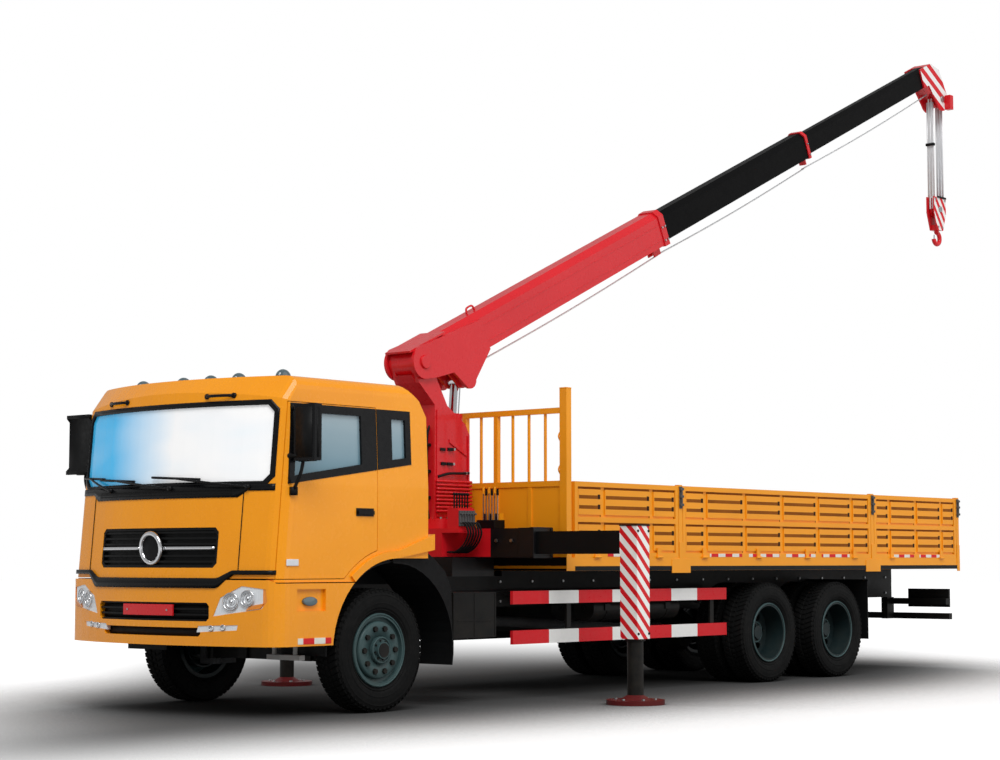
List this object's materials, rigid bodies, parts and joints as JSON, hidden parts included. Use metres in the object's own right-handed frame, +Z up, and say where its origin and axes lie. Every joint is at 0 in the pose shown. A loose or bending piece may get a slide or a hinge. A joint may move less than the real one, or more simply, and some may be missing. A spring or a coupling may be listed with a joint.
{
  "type": "truck-mounted crane",
  "caption": "Dropside lorry with a telescopic crane behind its cab, outriggers drawn out and the boom raised over the bed.",
  "frame": {"origin": "on the ground, at the middle of the whole object's box from above", "axes": "+X towards the front of the cab, +Y to the vehicle's left, +Z up"},
  "size_m": [13.0084, 4.8, 7.5203],
  "materials": {
    "chassis_paint": "semi-gloss",
    "iron": "matte",
    "cab_paint": "gloss",
    "bed_paint": "gloss",
    "crane_paint": "gloss",
    "guard_paint": "gloss",
    "black_plastic": "satin",
    "lens": "clear",
    "window_glass": "clear",
    "rod_chrome": "polished",
    "rope_steel": "satin",
    "tyre": "matte",
    "rim_paint": "semi-gloss"
  },
  "bodies": {
    "chassis": {"chassis_frame": "chassis_paint", "axles": "chassis_paint", "engine": "iron", "tanks": "chassis_paint", "mudguards": "black_plastic", "side_guards": "guard_paint", "rear_underrun": "chassis_paint", "cab_floor": "black_plastic", "cab_back": "cab_paint", "cab_sides": "cab_paint", "cab_roof": "cab_paint", "front_panel": "cab_paint", "bumper": "cab_paint", "grille": "black_plastic", "lamps": "lens", "cab_glass": "window_glass", "cab_interior": "black_plastic", "bed_floor": "bed_paint", "headboard": "bed_paint", "stake_posts": "bed_paint", "crane_base": "crane_paint"},
    "crane_column": {"column": "crane_paint"},
    "cylinder_barrel": {"lift_barrel": "crane_paint"},
    "cylinder_rod": {"lift_rod": "rod_chrome"},
    "boom": {"boom_base": "crane_paint"},
    "stage_1": {"boom_stage_1": "chassis_paint"},
    "stage_2": {"boom_stage_2": "chassis_paint", "boom_head": "crane_paint"},
    "hook": {"hook_falls": "rope_steel", "hook_block": "crane_paint"},
    "outrigger_left": {"outrigger_left": "chassis_paint"},
    "jack_left": {"jack_left": "chassis_paint"},
    "knuckle_left": {"knuckle_left": "iron"},
    "front_wheel_left": {"wheel_front_left": "rim_paint", "tyre_front_left": "tyre"},
    "rear_wheels_1_left": {"wheel_rear_1_left": "rim_paint", "tyre_rear_1_left": "tyre"},
    "rear_wheels_2_left": {"wheel_rear_2_left": "rim_paint", "tyre_rear_2_left": "tyre"},
    "door_left": {"door_left": "cab_paint", "door_glass_left": "window_glass"},
    "dropside_left_1": {"dropside_left_1": "bed_paint"},
    "dropside_left_2": {"dropside_left_2": "bed_paint"},
    "dropside_left_3": {"dropside_left_3": "bed_paint"},
    "outrigger_right": {"outrigger_right": "chassis_paint"},
    "jack_right": {"jack_right": "chassis_paint"},
    "knuckle_right": {"knuckle_right": "iron"},
    "front_wheel_right": {"wheel_front_right": "rim_paint", "tyre_front_right": "tyre"},
    "rear_wheels_1_right": {"wheel_rear_1_right": "rim_paint", "tyre_rear_1_right": "tyre"},
    "rear_wheels_2_right": {"wheel_rear_2_right": "rim_paint", "tyre_rear_2_right": "tyre"},
    "door_right": {"door_right": "cab_paint", "door_glass_right": "window_glass"},
    "dropside_right_1": {"dropside_right_1": "bed_paint"},
    "dropside_right_2": {"dropside_right_2": "bed_paint"},
    "dropside_right_3": {"dropside_right_3": "bed_paint"},
    "tailgate": {"tailgate": "bed_paint"}
  },
  "joints": [
    {"name": "slew", "type": "hinge", "parent": "chassis", "child": "crane_column", "pos_m": [3.05419, 0, 1.561], "axis": [0, 0, 1], "continuous": true},
    {"name": "boom_lift", "type": "hinge", "parent": "crane_column", "child": "boom", "pos_m": [3.45419, 0, 3.02], "axis": [0, 1, 0], "range_deg": [-23.8, 50.2]},
    {"name": "stage_1_retract", "type": "slide", "parent": "boom", "child": "stage_1", "axis": [0.9078, 0, -0.4194], "range_m": [0, 2.8]},
    {"name": "stage_2_retract", "type": "slide", "parent": "stage_1", "child": "stage_2", "axis": [0.9078, 0, -0.4194], "range_m": [0, 2.8]},
    {"name": "hook_swing", "type": "hinge", "parent": "stage_2", "child": "hook", "pos_m": [-6.35419, 0, 7.11147], "axis": [0, -1, 0], "range_deg": [-23.8, 50.2]},
    {"name": "cylinder_tilt", "type": "hinge", "parent": "crane_column", "child": "cylinder_barrel", "pos_m": [2.93419, 0, 1.701], "axis": [0, 1, 0], "range_deg": [-1.29, 2.61]},
    {"name": "cylinder_extend", "type": "slide", "parent": "cylinder_barrel", "child": "cylinder_rod", "axis": [-0.0828, 0, 0.9966], "range_m": [-0.2462, 0.5171]},
    {"name": "outrigger_left_retract", "type": "slide", "parent": "chassis", "child": "outrigger_left", "axis": [0, -1, 0], "range_m": [0, 0.925]},
    {"name": "jack_left_lift", "type": "slide", "parent": "outrigger_left", "child": "jack_left", "axis": [0, 0, 1], "range_m": [0, 0.4]},
    {"name": "steer_left", "type": "hinge", "parent": "chassis", "child": "knuckle_left", "pos_m": [5.05419, 0.82, 0.5], "axis": [0, 0, 1], "range_deg": [-35, 35]},
    {"name": "front_wheel_left_spin", "type": "hinge", "parent": "knuckle_left", "child": "front_wheel_left", "pos_m": [5.05419, 1.05, 0.5], "axis": [0, 1, 0], "continuous": true},
    {"name": "rear_wheels_1_left_spin", "type": "hinge", "parent": "chassis", "child": "rear_wheels_1_left", "pos_m": [-0.59581, 0.91, 0.5], "axis": [0, 1, 0], "continuous": true},
    {"name": "rear_wheels_2_left_spin", "type": "hinge", "parent": "chassis", "child": "rear_wheels_2_left", "pos_m": [-1.89581, 0.91, 0.5], "axis": [0, 1, 0], "continuous": true},
    {"name": "door_left_swing", "type": "hinge", "parent": "chassis", "child": "door_left", "pos_m": [6.25129, 1.24, 1.75], "axis": [0, 0, -1], "range_deg": [0, 70]},
    {"name": "dropside_left_1_drop", "type": "hinge", "parent": "chassis", "child": "dropside_left_1", "pos_m": [1.85419, 1.254, 1.254], "axis": [-1, 0, 0], "range_deg": [0, 178]},
    {"name": "dropside_left_2_drop", "type": "hinge", "parent": "chassis", "child": "dropside_left_2", "pos_m": [-0.74581, 1.254, 1.254], "axis": [-1, 0, 0], "range_deg": [0, 178]},
    {"name": "dropside_left_3_drop", "type": "hinge", "parent": "chassis", "child": "dropside_left_3", "pos_m": [-3.44581, 1.254, 1.254], "axis": [-1, 0, 0], "range_deg": [0, 178]},
    {"name": "outrigger_right_retract", "type": "slide", "parent": "chassis", "child": "outrigger_right", "axis": [0, 1, 0], "range_m": [0, 0.925]},
    {"name": "jack_right_lift", "type": "slide", "parent": "outrigger_right", "child": "jack_right", "axis": [0, 0, 1], "range_m": [0, 0.4]},
    {"name": "steer_right", "type": "hinge", "parent": "chassis", "child": "knuckle_right", "pos_m": [5.05419, -0.82, 0.5], "axis": [0, 0, 1], "range_deg": [-35, 35]},
    {"name": "front_wheel_right_spin", "type": "hinge", "parent": "knuckle_right", "child": "front_wheel_right", "pos_m": [5.05419, -1.05, 0.5], "axis": [0, 1, 0], "continuous": true},
    {"name": "rear_wheels_1_right_spin", "type": "hinge", "parent": "chassis", "child": "rear_wheels_1_right", "pos_m": [-0.59581, -0.91, 0.5], "axis": [0, 1, 0], "continuous": true},
    {"name": "rear_wheels_2_right_spin", "type": "hinge", "parent": "chassis", "child": "rear_wheels_2_right", "pos_m": [-1.89581, -0.91, 0.5], "axis": [0, 1, 0], "continuous": true},
    {"name": "door_right_swing", "type": "hinge", "parent": "chassis", "child": "door_right", "pos_m": [6.25129, -1.24, 1.75], "axis": [0, 0, 1], "range_deg": [0, 70]},
    {"name": "dropside_right_1_drop", "type": "hinge", "parent": "chassis", "child": "dropside_right_1", "pos_m": [1.85419, -1.254, 1.254], "axis": [1, 0, 0], "range_deg": [0, 178]},
    {"name": "dropside_right_2_drop", "type": "hinge", "parent": "chassis", "child": "dropside_right_2", "pos_m": [-0.74581, -1.254, 1.254], "axis": [1, 0, 0], "range_deg": [0, 178]},
    {"name": "dropside_right_3_drop", "type": "hinge", "parent": "chassis", "child": "dropside_right_3", "pos_m": [-3.44581, -1.254, 1.254], "axis": [1, 0, 0], "range_deg": [0, 178]},
    {"name": "tailgate_drop", "type": "hinge", "parent": "chassis", "child": "tailgate", "pos_m": [-4.50981, 0, 1.254], "axis": [0, -1, 0], "range_deg": [0, 178]}
  ],
  "couplings": [
    {"joint": "cylinder_tilt", "follows": "boom_lift", "ratio": 0.05},
    {"joint": "cylinder_extend", "follows": "boom_lift", "m_per_rad": 0.5879},
    {"joint": "steer_right", "follows": "steer_left", "ratio": 1}
  ]
}
